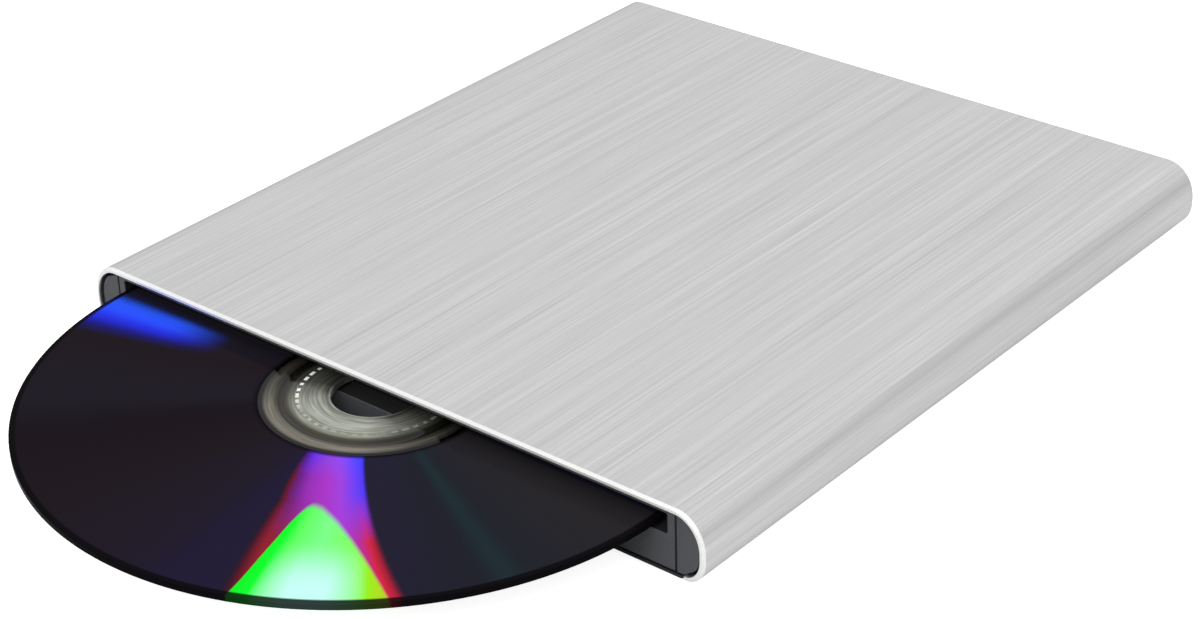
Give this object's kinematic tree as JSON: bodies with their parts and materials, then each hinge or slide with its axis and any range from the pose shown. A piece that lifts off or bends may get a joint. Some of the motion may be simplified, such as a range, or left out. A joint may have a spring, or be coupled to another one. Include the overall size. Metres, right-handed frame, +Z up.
{
  "type": "external optical drive",
  "caption": "Slim slot-loading optical drive in an aluminium sleeve, with a disc half out of the slot and a working loader, spindle and laser sled inside.",
  "frame": {"origin": "under the middle of the whole rest state, on the plane the rubber feet stand on", "axes": "+X to the right seen from the slot, +Y from the slot towards the rear, +Z up"},
  "size_m": [0.138, 0.2082, 0.0134],
  "materials": {
    "brushed_aluminium": "brushed along the depth, bright chamfered rims",
    "dark_grey_plastic": "satin moulded dark grey",
    "black_coated_steel": "matt black coating",
    "black_rubber": "matt",
    "black_felt": "short felt pile",
    "zinc_plated_sheet": "zinc plated",
    "bright_steel": "ground",
    "black_plastic": "moulded",
    "pale_acetal": "moulded",
    "green_board": "solder mask",
    "copper_winding": null,
    "lens_glass": "clear coated lens",
    "disc_mirror": "clear polycarbonate over a dark mirror layer"
  },
  "bodies": {
    "enclosure": {"outer_shell": "brushed_aluminium", "bottom_cover": "black_coated_steel", "cover_screw_1": "bright_steel", "cover_screw_2": "bright_steel", "cover_screw_3": "bright_steel", "cover_screw_4": "bright_steel", "foot_1": "black_rubber", "foot_2": "black_rubber", "foot_3": "black_rubber", "foot_4": "black_rubber", "bezel": "dark_grey_plastic", "bezel_end_left": "dark_grey_plastic", "bezel_end_right": "dark_grey_plastic", "slot_felt_upper": "black_felt", "slot_felt_lower": "black_felt", "rear_panel": "dark_grey_plastic", "usb_socket": "bright_steel", "usb_tongue": "black_plastic", "bridge_board": "green_board", "bridge_chip": "black_plastic", "drive_connector": "black_plastic", "drive_chassis": "zinc_plated_sheet", "drive_lid": "zinc_plated_sheet", "arm_stud_left": "bright_steel", "arm_stud_right": "bright_steel", "main_board": "green_board", "servo_chip": "black_plastic", "memory_chip": "black_plastic", "driver_chip": "black_plastic", "hinge_block_left": "black_rubber", "hinge_block_right": "black_rubber", "cam_gear_post": "bright_steel", "loading_motor": "zinc_plated_sheet"},
    "disc": {"disc": "disc_mirror"},
    "traverse": {"traverse_frame": "zinc_plated_sheet", "guide_rod_left": "bright_steel", "guide_rod_right": "bright_steel", "sled_motor": "black_plastic", "spindle_motor_base": "bright_steel", "stator_winding": "copper_winding"},
    "rotor": {"turntable": "black_plastic", "turntable_pad": "black_rubber"},
    "pickup": {"pickup_body": "black_plastic", "lens_cover": "zinc_plated_sheet", "objective_lens": "lens_glass", "screw_follower": "pale_acetal"},
    "lead_screw": {"lead_screw": "bright_steel"},
    "cam_slider": {"cam_slider": "pale_acetal"},
    "cam_gear": {"cam_gear": "pale_acetal"},
    "motor_pinion": {"motor_pinion": "pale_acetal"},
    "arm_left": {"eject_arm_left": "zinc_plated_sheet", "arm_roller_left": "pale_acetal"},
    "arm_right": {"eject_arm_right": "zinc_plated_sheet", "arm_roller_right": "pale_acetal"}
  },
  "joints": [
    {"name": "disc_load", "type": "slide", "parent": "enclosure", "child": "disc", "axis": [0, 1, 0], "range_m": [0, 0.0683]},
    {"name": "arm_left_swing", "type": "hinge", "parent": "enclosure", "child": "arm_left", "pos_m": [-0.0578, 0.03045, 0.0106], "axis": [0, 0, 1], "range_deg": [0, 78.49]},
    {"name": "arm_right_swing", "type": "hinge", "parent": "enclosure", "child": "arm_right", "pos_m": [0.0558, 0.03045, 0.0106], "axis": [0, 0, 1], "range_deg": [-78.49, 0]},
    {"name": "cam_slide", "type": "slide", "parent": "enclosure", "child": "cam_slider", "axis": [-1, 0, 0], "range_m": [0, 0.014]},
    {"name": "traverse_lift", "type": "hinge", "parent": "enclosure", "child": "traverse", "pos_m": [-0.001, -0.03685, 0.0052], "axis": [1, 0, 0], "range_deg": [0, 1.41]},
    {"name": "cam_gear_spin", "type": "hinge", "parent": "enclosure", "child": "cam_gear", "pos_m": [0.027, 0.05425, 0.0048], "axis": [0, 0, 1], "range_deg": [-200.63, 0]},
    {"name": "motor_pinion_spin", "type": "hinge", "parent": "enclosure", "child": "motor_pinion", "pos_m": [0.01856, 0.06016, 0.0076], "axis": [0, 0, 1], "range_deg": [0, 481.38]},
    {"name": "turntable_spin", "type": "hinge", "parent": "traverse", "child": "rotor", "pos_m": [-0.001, 0.02419, 0.0061], "axis": [0, 0.0246, 0.9997], "continuous": true},
    {"name": "pickup_slide", "type": "slide", "parent": "traverse", "child": "pickup", "axis": [0, -0.9997, 0.0246], "range_m": [0, 0.028]},
    {"name": "lead_screw_spin", "type": "hinge", "parent": "traverse", "child": "lead_screw", "pos_m": [0.0178, -0.01582, 0.00608], "axis": [0, -0.9997, 0.0246], "range_deg": [0, 3361]}
  ],
  "couplings": [
    {"joint": "arm_left_swing", "follows": "disc_load", "rad_per_m": 20.044},
    {"joint": "arm_right_swing", "follows": "disc_load", "rad_per_m": -20.044},
    {"joint": "traverse_lift", "follows": "cam_slide", "rad_per_m": 1.7566},
    {"joint": "cam_gear_spin", "follows": "cam_slide", "rad_per_m": -250},
    {"joint": "motor_pinion_spin", "follows": "cam_slide", "rad_per_m": 600},
    {"joint": "lead_screw_spin", "follows": "pickup_slide", "rad_per_m": 2094.4}
  ]
}
